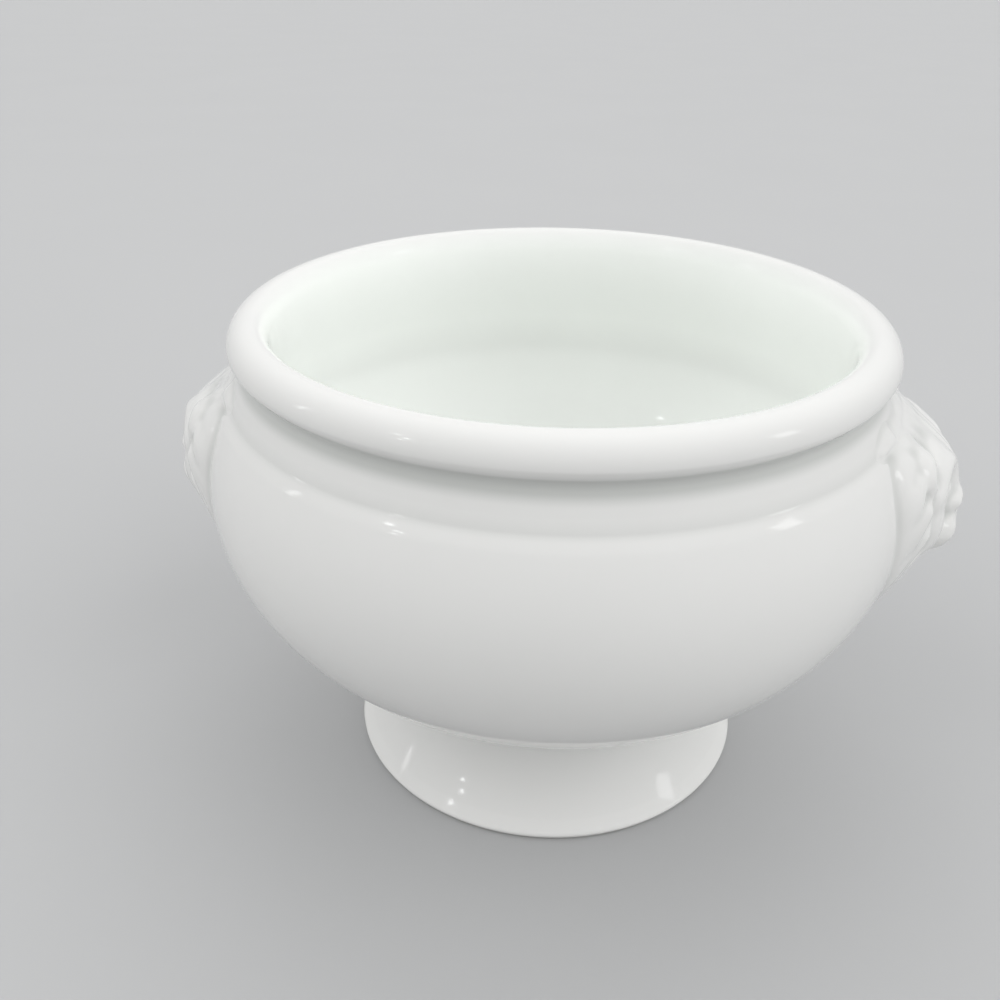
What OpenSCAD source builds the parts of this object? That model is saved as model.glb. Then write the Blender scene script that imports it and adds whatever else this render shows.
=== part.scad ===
// French onion soup crock: a footed porcelain bowl with a lion's head on each side.
// The origin is the centre of the ring that the foot stands on, +Z is up, and the heads lie on the X axis.
// The pieces are the ones that are formed apart in the pottery and joined with slip before firing.

/* [Bowl] */
// Inside diameter of the mouth
mouth_d = 98; // [88:0.1:108]
// Height of the rolled rim
roll_d = 8; // [6.8:0.1:9.4]
// Width of the rolled rim inside its crest
roll_in_w = 2.7; // [2.2:0.1:3.4]
// Drop from the widest place of the rolled rim to the groove below it
groove_drop = 3.45; // [3.1:0.05:3.8]
// Thickness of the wall at the groove just below the rolled rim
neck_wall_t = 4.5; // [3.9:0.1:5.2]
// Height of the neck band between the groove and the shoulder
neck_h = 5.4; // [4.4:0.1:6.4]
// How much wider the neck band is at its lower edge than at the groove
neck_lean = 2.3; // [1.8:0.1:2.8]
// Swelling of the neck band
neck_swell = 0.45; // [0:0.05:0.8]
// Greatest diameter of the belly
belly_d = 122.4; // [108:0.1:136]
// Height of the top of the rim above the widest place of the belly
upper_h = 29.2; // [26:0.1:34]
// Drop from the widest place of the belly to its underside
belly_drop = 43.3; // [37:0.1:50]
// Thickness of the wall at the belly
wall_t = 4.8; // [4:0.1:5.6]
// Thickness of the floor
floor_t = 5.2; // [4.4:0.1:6]

/* [Foot] */
// Height of the underside of the belly above the table
foot_h = 14.7; // [12:0.1:18]
// Diameter of the foot at the table
foot_d = 76; // [68:0.1:86]
// Diameter of the waist where the foot meets the belly
waist_d = 58; // [50:0.1:64]
// Thickness of the wall of the foot
foot_wall_t = 4.6; // [4:0.1:5.2]
// Radius of the rounded outer edge of the foot
foot_edge_r = 1.3; // [0.8:0.1:1.6]
// Width of the bare ring that the foot stands on
rest_w = 3.2; // [2.4:0.1:3.6]

/* [Lion heads] */
// Width of a head across its mane
head_w = 57; // [48:0.1:64]
// Height of a head from its beard to its crown
head_h = 44; // [38:0.1:50]
// Drop from the groove below the rim to the crown of a head
head_gap = 1.05; // [0.8:0.05:1.6]
// How far the nose stands out from the belly
snout_reach = 11.5; // [9:0.1:12]
// Thickness of the mane over the belly
mane_t = 2; // [1.8:0.1:2.8]
// Thickness of a head at its edge
edge_t = 0.9; // [0.7:0.1:1.2]
// Number of locks round the mane
locks = 18; // [14:1:22]

/* [Slip joints] */
// Thickness of the slip between the foot and the bowl
slip_t = 0.4; // [0.3:0.05:0.6]
// Width of the slip fillet round the foot
foot_fillet = 2.4; // [1.6:0.1:3]
// Width of the slip fillet round a head
head_fillet = 1.3; // [1:0.1:1.5]

/* [Hidden] */
// Gap that keeps two solids from sharing volume where they are joined
joint_gap = 0.06;
// Stretch over which the neck band and the rolled rim run together in the groove
groove_fill = 1.6;
// How far the shoulder stands out over the lower edge of the neck band
shoulder_step = 0.87;
// Height over which the neck band runs out into the shoulder
cove_h = 4.4;
// How far the wall turns in from the widest place to the shoulder, as a share of a quarter oval
turn_share = 0.378;
// Height of the rounded inner edge of the standing ring
rest_edge_h = 1;

belly_r = belly_d / 2;
belly_z = foot_h + belly_drop;
roll_r = roll_d / 2;
mouth_r = mouth_d / 2;
roll_ring_r = mouth_r + roll_in_w;
roll_z = belly_z + upper_h - roll_r;
groove_r = mouth_r + neck_wall_t;
groove_z = roll_z - groove_drop;
neck_r = groove_r + neck_lean;
shoulder_r = neck_r + shoulder_step;
shoulder_z = groove_z - neck_h;
foot_r = foot_d / 2;
waist_r = waist_d / 2;
half_w = head_w / 2;
half_h = head_h / 2;
head_z = groove_z - head_gap - half_h;

// Curve of the flare of the foot: 1 is a cone, more is hollower
flare_power = 2.3;
// Steps along the round stretches of the outlines
curve_steps = 28;
$fn = 180;

// Stations round a head, rings over its face and rings over its back
head_stations = 80;
face_rings = 18;
back_rings = 9;

// Crest of the face from beard to crown: height in the head, reach, half width,
// as shares of half_h, snout_reach and half_w
crest_shares = [
    [-1.00, 0.00, 0.26],
    [-0.88, 0.10, 0.27],
    [-0.80, 0.22, 0.28],
    [-0.70, 0.44, 0.29],
    [-0.60, 0.59, 0.29],
    [-0.50, 0.65, 0.30],
    [-0.40, 0.68, 0.31],
    [-0.26, 0.72, 0.32],
    [-0.14, 0.75, 0.30],
    [-0.03, 0.77, 0.25],
    [0.06, 0.73, 0.22],
    [0.15, 0.67, 0.23],
    [0.27, 0.63, 0.25],
    [0.38, 0.55, 0.29],
    [0.48, 0.42, 0.33],
    [0.57, 0.26, 0.36],
    [0.66, 0.11, 0.38],
    [0.75, 0.00, 0.38],
    [0.84, -0.05, 0.40],
    [1.00, 0.00, 0.40]
];

// Swellings and hollows of the face and mane, the same on both sides: sideways place, height, half width,
// half height and relief, as shares of half_w, half_h, half_w, half_h and snout_reach.
// In turn: brow, eye socket, eye, cheek, muzzle, wing of the nose, nostril, lip groove, crease over the nose,
// mouth, chin, ear, hollow of the ear, outer lock, thinner lower mane
feature_shares = [
    [0.26, 0.43, 0.13, 0.075, 0.14],
    [0.28, 0.27, 0.09, 0.10, -0.17],
    [0.27, 0.26, 0.055, 0.055, 0.13],
    [0.44, 0.02, 0.13, 0.24, 0.20],
    [0.17, -0.20, 0.12, 0.13, 0.14],
    [0.10, 0.02, 0.06, 0.05, 0.06],
    [0.11, -0.04, 0.04, 0.035, -0.08],
    [0.00, -0.15, 0.030, 0.10, -0.06],
    [0.00, 0.16, 0.17, 0.030, -0.05],
    [0.13, -0.40, 0.14, 0.035, -0.11],
    [0.00, -0.50, 0.15, 0.07, 0.05],
    [0.52, 0.62, 0.11, 0.13, 0.18],
    [0.51, 0.60, 0.05, 0.07, -0.11],
    [0.74, 0.30, 0.05, 0.26, 0.08],
    [0.42, -0.64, 0.20, 0.16, -0.07]
];

// Where the locks of the mane begin and are deepest, as shares of the way to the edge, and their depth of mane_t
lock_shares = [0.60, 0.86, 0.30];
// How far the locks scallop the edge of the mane, as a share of its distance from the middle
scallop_share = 0.022;
// Roundness of the outline of the mane, and how much fuller it is above than below: powers, not sizes
outline_power = 2.4;
outline_lean = 1.1;
// How squarely the mane drops at its edge: a power, not a size
mane_power = 6;

function mix(a, b, t) = a + (b - a) * t;
function held(t) = min(max(t, 0), 1);
function eased(t) = let (s = held(t)) s * s * (3 - 2 * s);
// The larger of a and b, rounded over a stretch of k where they cross
function soft_max(a, b, k) = let (h = held(0.5 + 0.5 * (a - b) / k)) mix(b, a, h) + k * h * (1 - h);
function bell(d, spread) = exp(-pow(d / spread, 2));

// Height of the underside of the belly at radius r
function underside_z(r) = belly_z - belly_drop * sqrt(1 - pow(r / belly_r, 2));
// Outside radius below the widest place of the belly
function lower_wall_r(z) = belly_r * sqrt(max(1 - pow((belly_z - z) / belly_drop, 2), 0));
// Outside radius from the widest place up to the shoulder
function upper_wall_r(z) =
    let (turn = turn_share * held((z - belly_z) / (shoulder_z - belly_z)))
    belly_r - (belly_r - shoulder_r) * (1 - sqrt(1 - turn * turn)) / (1 - sqrt(1 - turn_share * turn_share));
function neck_band_r(z) =
    let (t = (z - shoulder_z) / neck_h)
    mix(neck_r, groove_r, t) + neck_swell * sin(180 * held(t));
// Outside radius from the groove up to the widest place of the rolled rim
function rolled_rim_r(z) =
    let (under = held((roll_z - z) / groove_drop))
    mix(groove_r, roll_ring_r + roll_r, (1 + cos(180 * under)) / 2);
// Outside radius of the bowl at height z, up to the widest place of the rolled rim
function outer_r(z) =
    let (run_out = eased((z - shoulder_z) / cove_h + 0.5),
         wall = mix(upper_wall_r(z), neck_band_r(z), run_out))
    z < belly_z ? lower_wall_r(z)
    : z < shoulder_z - cove_h ? upper_wall_r(z) : soft_max(wall, rolled_rim_r(z), groove_fill);
// Inside radius of the bowl at height z, from its widest place up to the mouth
function inner_r(z) = mix(belly_r - wall_t, mouth_r, eased((z - belly_z) / (roll_z - belly_z)));

module bowl() {
    lower = [for (i = [0 : curve_steps])
        let (a = 90 * i / curve_steps) [belly_r * sin(a), belly_z - belly_drop * cos(a)]];
    upper = [for (i = [1 : 2 * curve_steps])
        let (z = mix(belly_z, roll_z, i / (2 * curve_steps))) [outer_r(z), z]];
    over = [for (i = [1 : curve_steps])
        let (a = 180 * i / curve_steps, across = a < 90 ? roll_r : roll_in_w)
        [roll_ring_r + across * cos(a), roll_z + roll_r * sin(a)]];
    down = [for (i = [1 : curve_steps])
        let (z = mix(roll_z, belly_z, i / curve_steps)) [inner_r(z), z]];
    floor_curve = [for (i = [1 : curve_steps])
        let (a = 90 * (1 - i / curve_steps))
        [(belly_r - wall_t) * sin(a), belly_z - (belly_drop - floor_t) * cos(a)]];
    color("white")
        rotate_extrude()
            polygon(concat(lower, upper, over, down, floor_curve));
}

// Outside radius of the foot at height z
function foot_outer_r(z) =
    let (top = underside_z(waist_r) - slip_t, t = held((z - foot_edge_r) / (top - foot_edge_r)))
    waist_r + (foot_r - waist_r) * pow(1 - t, flare_power);

module foot() {
    top = underside_z(waist_r) - slip_t;
    top_in = underside_z(waist_r - foot_wall_t) - slip_t;
    rest_in_r = foot_r - foot_edge_r - rest_w;
    edge = [for (i = [0 : curve_steps / 4])
        let (a = -90 + 90 * i / (curve_steps / 4))
        [foot_r - foot_edge_r + foot_edge_r * cos(a), foot_edge_r + foot_edge_r * sin(a)]];
    flare = [for (i = [1 : curve_steps])
        let (z = mix(foot_edge_r, top, i / curve_steps)) [foot_outer_r(z), z]];
    seat = [for (i = [1 : curve_steps / 4])
        let (r = waist_r - foot_wall_t * i / (curve_steps / 4)) [r, underside_z(r) - slip_t]];
    hollow = [for (i = [1 : curve_steps])
        let (t = i / curve_steps, z = mix(top_in, rest_edge_h, t))
        [mix(waist_r - foot_wall_t, rest_in_r - rest_edge_h / 2, pow(t, flare_power)), z]];
    color("white")
        rotate_extrude()
            polygon(concat(edge, flare, seat, hollow, [[rest_in_r, 0]]));
}

module foot_slip_joint() {
    top = underside_z(waist_r) - slip_t;
    in_r = waist_r - foot_wall_t;
    out_r = waist_r + foot_fillet;
    // Under the bowl, from the fillet inside the foot to the one outside it
    under_bowl = [for (i = [0 : curve_steps])
        let (r = mix(in_r - foot_fillet / 2, out_r, i / curve_steps)) [r, underside_z(r) - joint_gap]];
    // The open face of the outer fillet, hollow, from the bowl down to the wall of the foot
    fillet = [for (i = [1 : curve_steps / 2])
        let (a = 90 * i / (curve_steps / 2), z_end = top - foot_fillet, r_end = foot_outer_r(z_end) + joint_gap)
        [mix(out_r, r_end, sin(a)), mix(underside_z(out_r) - slip_t, z_end, 1 - cos(a))]];
    wall = [for (i = [1 : curve_steps / 4])
        let (z = mix(top - foot_fillet, top, i / (curve_steps / 4))) [foot_outer_r(z) + joint_gap, z]];
    over_foot = [for (i = [0 : curve_steps / 4])
        let (r = mix(waist_r + joint_gap, in_r - joint_gap, i / (curve_steps / 4)))
        [r, underside_z(r) - slip_t + joint_gap]];
    inner_end = [[in_r - joint_gap, underside_z(in_r) - slip_t - foot_fillet / 2]];
    color("white")
        rotate_extrude()
            polygon(concat(under_bowl, fillet, wall, over_foot, inner_end));
}

// Distance from the middle of a head to its edge, in the direction a
function edge_distance(a) =
    let (power = outline_power + outline_lean * sin(a),
         across = pow(abs(cos(a)) / half_w, power),
         along = pow(abs(sin(a)) / half_h, power))
    pow(across + along, -1 / power) * (1 + scallop_share * (cos(locks * (a - 90)) - 1));

function crest_at(v, i = 0) =
    i >= len(crest_shares) - 2 || v < crest_shares[i + 1][0]
        ? let (a = crest_shares[i], b = crest_shares[i + 1], t = held((v - a[0]) / (b[0] - a[0])))
            [mix(a[1], b[1], t), mix(a[2], b[2], t)]
        : crest_at(v, i + 1);
function sum(list, i = 0) = i < len(list) ? list[i] + sum(list, i + 1) : 0;
function features_at(u, v) =
    sum([for (f = feature_shares) f[4] * bell(abs(u) - f[0], f[2]) * bell(v - f[1], f[3])]);
// Thickness of a head at share t of the way to its edge, in the direction a
function head_t(t, a) =
    let (d = edge_distance(a), u = t * d * cos(a) / half_w, v = t * d * sin(a) / half_h,
         crest = crest_at(v),
         face = snout_reach * (crest[0] * bell(u, crest[1]) + features_at(u, v)),
         lock = bell(t - lock_shares[1], lock_shares[1] - lock_shares[0]) * lock_shares[2] * mane_t,
         mane = (mane_t - edge_t) * sqrt(1 - pow(t, mane_power)) - lock * (1 - t) * (1 - cos(locks * (a - 90))))
    edge_t + mane + face * (1 - pow(t, mane_power));
// Point lift above the outside of the bowl, straight out from the place at y, z
function on_bowl(y, z, lift) =
    let (r = outer_r(z), out = (r + lift) / r) [out * sqrt(r * r - y * y), out * y, z];
function head_point(t, a, lift) =
    let (d = t * edge_distance(a)) on_bowl(d * cos(a), head_z + d * sin(a), lift);

// Triangles of one disc of rings, its middle first, wound for its outer or its inner side
function disc_faces(first, rings, outside) = [
    for (j = [0 : head_stations - 1])
        let (k = (j + 1) % head_stations)
        for (face = concat(
            [[first, first + 1 + k, first + 1 + j]],
            [for (i = [0 : rings - 2]) each
                let (p = first + 1 + i * head_stations, q = p + head_stations)
                [[p + j, p + k, q + k], [p + j, q + k, q + j]]]))
        outside ? face : [face[2], face[1], face[0]]
];

module lion_head() {
    step = 360 / head_stations;
    face = concat([head_point(0, 0, head_t(0, 0))],
        [for (i = [1 : face_rings]) for (j = [0 : head_stations - 1])
            head_point(i / face_rings, j * step, head_t(i / face_rings, j * step))]);
    back = concat([head_point(0, 0, joint_gap)],
        [for (i = [1 : back_rings]) for (j = [0 : head_stations - 1])
            head_point(i / back_rings, j * step, joint_gap)]);
    face_rim = 1 + (face_rings - 1) * head_stations;
    back_rim = len(face) + 1 + (back_rings - 1) * head_stations;
    side = [for (j = [0 : head_stations - 1])
        let (k = (j + 1) % head_stations)
        each [[face_rim + j, face_rim + k, back_rim + k], [face_rim + j, back_rim + k, back_rim + j]]];
    color("white")
        polyhedron(
            points = concat(face, back),
            faces = concat(disc_faces(0, face_rings, true), disc_faces(len(face), back_rings, false), side));
}

// Point beside the edge of a head, out from it by a distance in the direction a
function beside_head(a, out, lift) =
    let (d = edge_distance(a) + out) on_bowl(d * cos(a), head_z + d * sin(a), lift);

module head_slip_joint() {
    step = 360 / head_stations;
    // Section of the fillet: distance out from the head and height over the bowl
    section = [
        [joint_gap, joint_gap],
        [joint_gap, edge_t],
        [head_fillet / 3, edge_t / 3],
        [head_fillet, 2 * joint_gap],
        [head_fillet, joint_gap]
    ];
    n = len(section);
    points = [for (j = [0 : head_stations - 1]) for (s = section) beside_head(j * step, s[0], s[1])];
    faces = [for (j = [0 : head_stations - 1]) for (i = [0 : n - 1])
        let (p = j * n, q = ((j + 1) % head_stations) * n, m = (i + 1) % n)
        each [[p + i, q + i, q + m], [p + i, q + m, p + m]]];
    color("white")
        polyhedron(points = points, faces = faces);
}

module left_lion_head() {
    rotate([0, 0, 180]) lion_head();
}

module right_lion_head() {
    lion_head();
}

module left_head_slip_joint() {
    rotate([0, 0, 180]) head_slip_joint();
}

module right_head_slip_joint() {
    head_slip_joint();
}

bowl();
foot();
foot_slip_joint();
left_lion_head();
right_lion_head();
left_head_slip_joint();
right_head_slip_joint();
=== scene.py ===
"""Footed soup crock in white glazed porcelain, with a rolled rim and a lion's head on each side."""
import math

import bpy
import numpy as np
from mathutils import Matrix, Vector


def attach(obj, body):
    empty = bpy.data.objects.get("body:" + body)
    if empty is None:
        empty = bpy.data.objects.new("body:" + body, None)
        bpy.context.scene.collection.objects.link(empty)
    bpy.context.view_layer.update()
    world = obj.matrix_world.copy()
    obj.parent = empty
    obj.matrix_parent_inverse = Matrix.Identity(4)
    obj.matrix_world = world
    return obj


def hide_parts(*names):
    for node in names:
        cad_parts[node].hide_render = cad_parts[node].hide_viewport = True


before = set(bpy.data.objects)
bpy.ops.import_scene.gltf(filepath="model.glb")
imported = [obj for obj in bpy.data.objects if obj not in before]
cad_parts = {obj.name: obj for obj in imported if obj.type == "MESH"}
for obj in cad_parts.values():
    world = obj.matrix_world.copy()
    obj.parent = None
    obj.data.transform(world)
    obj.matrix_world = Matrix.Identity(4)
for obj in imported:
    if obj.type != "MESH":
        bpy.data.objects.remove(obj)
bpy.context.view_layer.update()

bl_info = {
    "name": "Footed Soup Crock",
    "version": (1, 0, 0),
    "blender": (4, 5, 0),
    "location": "View3D > Sidebar > Crock",
    "description": "Builds a footed porcelain soup crock with two lion's heads, and a plain stage for it",
    "category": "Add Mesh",
}

MM = 0.001
TURNS = 288


def length(name, description, default):
    return bpy.props.FloatProperty(
        name=name, description=description, default=default, min=0.0, precision=4,
        subtype="DISTANCE", unit="LENGTH")


def colour(name, description, default):
    return bpy.props.FloatVectorProperty(
        name=name, description=description, default=default, min=0.0, max=1.0, size=3, subtype="COLOR")


class BowlShape(bpy.types.PropertyGroup):
    """Sizes of the bowl"""
    mouth_d: length("Mouth", "Inside diameter of the mouth", 0.098)
    roll_d: length("Rolled rim", "Height of the rolled rim", 0.008)
    roll_in_w: length("Rim inside its crest", "Width of the rolled rim inside its crest", 0.0027)
    groove_drop: length("Groove drop", "Drop from the widest place of the rolled rim to the groove", 0.00345)
    neck_wall_t: length("Neck wall", "Thickness of the wall at the groove below the rolled rim", 0.0045)
    neck_h: length("Neck band", "Height of the neck band", 0.0054)
    neck_lean: length("Neck lean", "How much wider the neck band is at its lower edge", 0.0023)
    neck_swell: length("Neck swell", "Swelling of the neck band", 0.00045)
    belly_d: length("Belly", "Greatest diameter of the belly", 0.1224)
    upper_h: length("Upper height", "Height of the rim above the widest place", 0.0292)
    belly_drop: length("Belly drop", "Drop from the widest place to the underside", 0.0433)
    wall_t: length("Wall", "Thickness of the wall at the belly", 0.0048)
    floor_t: length("Floor", "Thickness of the floor", 0.0052)
    groove_fill: length("Groove fill", "Stretch over which the neck and the rolled rim run together", 0.0016)
    shoulder_step: length("Shoulder", "How far the shoulder stands out over the neck band", 0.00087)
    cove_h: length("Cove", "Height over which the neck band runs out into the shoulder", 0.0044)
    turns: bpy.props.IntProperty(
        name="Turns", description="Facets round the bowl and the foot", default=TURNS, min=48, max=400)


class FootShape(bpy.types.PropertyGroup):
    """Sizes of the foot"""
    foot_h: length("Height", "Height of the underside of the belly above the table", 0.0147)
    foot_d: length("Diameter", "Diameter of the foot at the table", 0.076)
    waist_d: length("Waist", "Diameter where the foot meets the belly", 0.058)
    wall_t: length("Wall", "Thickness of the wall of the foot", 0.0046)
    edge_r: length("Edge", "Radius of the rounded outer edge", 0.0013)
    rest_w: length("Bare ring", "Width of the bare ring that the foot stands on", 0.0032)
    slip_t: length("Slip", "Thickness of the slip between foot and bowl", 0.0004)
    fillet: length("Fillet", "Width of the slip fillet round the foot", 0.0034)


class HeadShape(bpy.types.PropertyGroup):
    """Sizes of the lion's heads"""
    width: length("Width", "Width of a head across its mane", 0.057)
    height: length("Height", "Height of a head from beard to crown", 0.044)
    gap: length("Gap", "Drop from the groove below the rim to the crown", 0.00105)
    step: length("Fineness", "Distance between the points of the relief", 0.00025)
    soft: length("Glaze fill", "How far the glaze softens the relief", 0.00052)


class CrockLook(bpy.types.PropertyGroup):
    """Colours of the glaze and the stage"""
    glaze: colour("Glaze", "Colour of the glaze over the porcelain", (0.757, 0.757, 0.744))
    # The thick glaze colour is darkened so that it also carries painted shade in the hollows
    pool: colour("Thick glaze", "Colour of the glaze where it lies thick", (0.56, 0.572, 0.554))
    # Painted light: the inside is coloured lighter than the outside glaze, for the light it gets
    painted_light_inside: colour("Lining", "Colour of the glaze inside the bowl", (0.925, 0.945, 0.92))
    biscuit: colour("Bare porcelain", "Colour of the bare ring under the foot", (0.62, 0.59, 0.54))
    floor: colour("Floor", "Colour of the floor", (0.46, 0.464, 0.468))
    backdrop: colour("Backdrop", "Colour behind the floor", (0.565, 0.57, 0.575))


# The crock's outlines, in metres

# How far round its arc the upper wall turns in, as a sine, and how sharply the foot flares at the table
TURN_SHARE = 0.378
FLARE_POWER = 2.3


def mix(a, b, t):
    return a + (b - a) * t


def held(t):
    return np.clip(t, 0.0, 1.0)


def eased(t):
    s = held(t)
    return s * s * (3 - 2 * s)


def soft_max(a, b, k):
    """The larger of a and b, rounded over a stretch of k where they cross"""
    h = held(0.5 + 0.5 * (a - b) / k)
    return mix(b, a, h) + k * h * (1 - h)


class Outline:
    """Radii and heights of the crock, worked out from its sizes"""

    def __init__(self, bowl, foot, head):
        self.bowl, self.foot, self.head = bowl, foot, head
        self.belly_r = bowl.belly_d / 2
        self.belly_z = foot.foot_h + bowl.belly_drop
        self.roll_r = bowl.roll_d / 2
        self.mouth_r = bowl.mouth_d / 2
        self.roll_ring_r = self.mouth_r + bowl.roll_in_w
        self.roll_z = self.belly_z + bowl.upper_h - self.roll_r
        self.groove_r = self.mouth_r + bowl.neck_wall_t
        self.groove_z = self.roll_z - bowl.groove_drop
        self.neck_r = self.groove_r + bowl.neck_lean
        self.shoulder_r = self.neck_r + bowl.shoulder_step
        self.shoulder_z = self.groove_z - bowl.neck_h
        self.foot_r = foot.foot_d / 2
        self.waist_r = foot.waist_d / 2
        self.head_z = self.groove_z - head.gap - head.height / 2

    def underside_z(self, r):
        return self.belly_z - self.bowl.belly_drop * np.sqrt(1 - (r / self.belly_r) ** 2)

    def lower_wall_r(self, z):
        return self.belly_r * np.sqrt(np.maximum(1 - ((self.belly_z - z) / self.bowl.belly_drop) ** 2, 0))

    def upper_wall_r(self, z):
        turn = TURN_SHARE * held((z - self.belly_z) / (self.shoulder_z - self.belly_z))
        share = (1 - np.sqrt(1 - turn ** 2)) / (1 - math.sqrt(1 - TURN_SHARE ** 2))
        return self.belly_r - (self.belly_r - self.shoulder_r) * share

    def neck_band_r(self, z):
        t = (z - self.shoulder_z) / self.bowl.neck_h
        return mix(self.neck_r, self.groove_r, t) + self.bowl.neck_swell * np.sin(math.pi * held(t))

    def rolled_rim_r(self, z):
        """Outside radius from the groove up to the widest place of the rolled rim"""
        under = held((self.roll_z - z) / self.bowl.groove_drop)
        return mix(self.groove_r, self.roll_ring_r + self.roll_r, (1 + np.cos(math.pi * under)) / 2)

    def outer_r(self, z):
        """Outside radius of the bowl at height z, up to the widest place of the rolled rim"""
        z = np.asarray(z, float)
        wall = mix(self.upper_wall_r(z), self.neck_band_r(z),
                   eased((z - self.shoulder_z) / self.bowl.cove_h + 0.5))
        above = soft_max(wall, self.rolled_rim_r(z), self.bowl.groove_fill)
        above = np.where(z < self.shoulder_z - self.bowl.cove_h, self.upper_wall_r(z), above)
        return np.where(z < self.belly_z, self.lower_wall_r(z), above)

    def inner_r(self, z):
        """Inside radius of the bowl at height z, from its widest place up to the mouth"""
        z = np.asarray(z, float)
        run_in = eased((z - self.belly_z) / (self.roll_z - self.belly_z))
        return mix(self.belly_r - self.bowl.wall_t, self.mouth_r, run_in)

    def foot_top_z(self):
        return self.underside_z(self.waist_r) - self.foot.slip_t

    def foot_outer_r(self, z):
        t = held((z - self.foot.edge_r) / (self.foot_top_z() - self.foot.edge_r))
        return self.waist_r + (self.foot_r - self.waist_r) * (1 - t) ** FLARE_POWER

    def rest_in_r(self):
        return self.foot_r - self.foot.edge_r - self.foot.rest_w

    def hollow_r(self, z):
        top = self.underside_z(self.waist_r - self.foot.wall_t) - self.foot.slip_t
        inner_edge = self.foot.edge_r / 2
        t = held((top - z) / (top - inner_edge))
        return mix(self.waist_r - self.foot.wall_t, self.rest_in_r() - inner_edge, t ** FLARE_POWER)


def points_of(r, z):
    r, z = np.broadcast_arrays(np.asarray(r, float), np.asarray(z, float))
    return np.stack([r, z], -1)


def swept(p0, t0, p1, t1, pull, steps):
    """Points of a smooth curve that leaves p0 along t0 and reaches p1 along t1"""
    p0, t0, p1, t1 = (np.array(v, float) for v in (p0, t0, p1, t1))
    a, b = p0 + t0 / np.linalg.norm(t0) * pull, p1 - t1 / np.linalg.norm(t1) * pull
    t = np.linspace(0, 1, steps + 1)[:, None]
    return (1 - t) ** 3 * p0 + 3 * t * (1 - t) ** 2 * a + 3 * t ** 2 * (1 - t) * b + t ** 3 * p1


# Points along each stretch of the outlines
LOWER_STEPS = 56
BELLY_STEPS = 18
NECK_STEPS = 66
ROLL_STEPS = 30
INSIDE_STEPS = 30
FLOOR_STEPS = 44


def bowl_outline(o):
    """From the middle of the underside, out and up, over the rim and down to the middle of the floor"""
    a = np.linspace(0, math.pi / 2, LOWER_STEPS + 1)
    lower = points_of(o.belly_r * np.sin(a), o.belly_z - o.bowl.belly_drop * np.cos(a))
    neck_foot_z = o.shoulder_z - o.bowl.cove_h
    z = np.linspace(o.belly_z, neck_foot_z, BELLY_STEPS + 1)[1:]
    belly = points_of(o.outer_r(z), z)
    z = np.linspace(neck_foot_z, o.roll_z, NECK_STEPS + 1)[1:]
    neck = points_of(o.outer_r(z), z)
    a = np.linspace(0, math.pi, ROLL_STEPS + 1)[1:]
    across = np.where(a < math.pi / 2, o.roll_r, o.bowl.roll_in_w)
    over = points_of(o.roll_ring_r + across * np.cos(a), o.roll_z + o.roll_r * np.sin(a))
    z = np.linspace(o.roll_z, o.belly_z, INSIDE_STEPS + 1)[1:]
    down = points_of(o.inner_r(z), z)
    a = np.linspace(math.pi / 2, 0, FLOOR_STEPS + 1)[1:]
    floor = points_of((o.belly_r - o.bowl.wall_t) * np.sin(a),
                      o.belly_z - (o.bowl.belly_drop - o.bowl.floor_t) * np.cos(a))
    return np.concatenate([lower, belly, neck, over, down, floor])


FOOT_STEPS = 44
FILLET_STEPS = 16
EDGE_STEPS = 10
# A fillet's pull as a share of its width, how deep its end is tucked into the bowl, and how far it runs on
FILLET_PULL = 0.62
TUCK = 0.03 * MM
TAIL = 0.9 * MM


def foot_outline(o):
    """Once round the wall of the foot, its two fillets run out under the surface of the belly"""
    edge, rest_in = o.foot.edge_r, o.rest_in_r()
    inner_edge = edge / 2
    fillet, pull = o.foot.fillet, o.foot.fillet * FILLET_PULL
    a = np.linspace(math.pi, 1.5 * math.pi, EDGE_STEPS + 1)
    start = points_of(rest_in + inner_edge * np.cos(a), inner_edge + inner_edge * np.sin(a))
    a = np.linspace(-math.pi / 2, 0, EDGE_STEPS + 1)
    outer_edge = points_of(o.foot_r - edge + edge * np.cos(a), edge + edge * np.sin(a))

    def on_belly(r):
        slope = np.array([1.0, (o.underside_z(r + TUCK) - o.underside_z(r)) / TUCK])
        slope /= np.linalg.norm(slope)
        inward = np.array([-slope[1], slope[0]])
        return np.array([r, o.underside_z(r)]) + inward * TUCK, slope, inward

    z = np.linspace(edge, o.foot_top_z() - fillet, FOOT_STEPS + 1)[1:]
    flare = points_of(o.foot_outer_r(z), z)
    end, slope, inward = on_belly(o.waist_r + fillet)
    out_fillet = swept(flare[-1], flare[-1] - flare[-2], end, slope, pull, FILLET_STEPS)[1:]
    out_tail = np.array([end + slope * TAIL / 2, end + slope * TAIL, end + slope * TAIL + inward * TAIL])
    in_r = o.waist_r - o.foot.wall_t
    top_in = o.underside_z(in_r) - o.foot.slip_t
    end, slope, inward = on_belly(in_r - fillet)
    in_tail = np.array([end - slope * TAIL + inward * TAIL, end - slope * TAIL, end - slope * TAIL / 2, end])
    z = np.linspace(top_in - fillet, inner_edge, FOOT_STEPS + 1)
    hollow = points_of(o.hollow_r(z), z)
    in_fillet = swept(end, slope, hollow[0], hollow[1] - hollow[0], pull, FILLET_STEPS)[1:-1]
    return np.concatenate([start, outer_edge, flare, out_fillet, out_tail, in_tail, in_fillet, hollow])


# Thick glaze and painted shade in a bend: stretch looked at, what a bend counts, the bend that holds none
POOL_AND_SHADE_REACH = 2.8 * MM
POOL_AND_SHADE_GAIN = 2
POOL_AND_SHADE_NONE = 0.1


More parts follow.
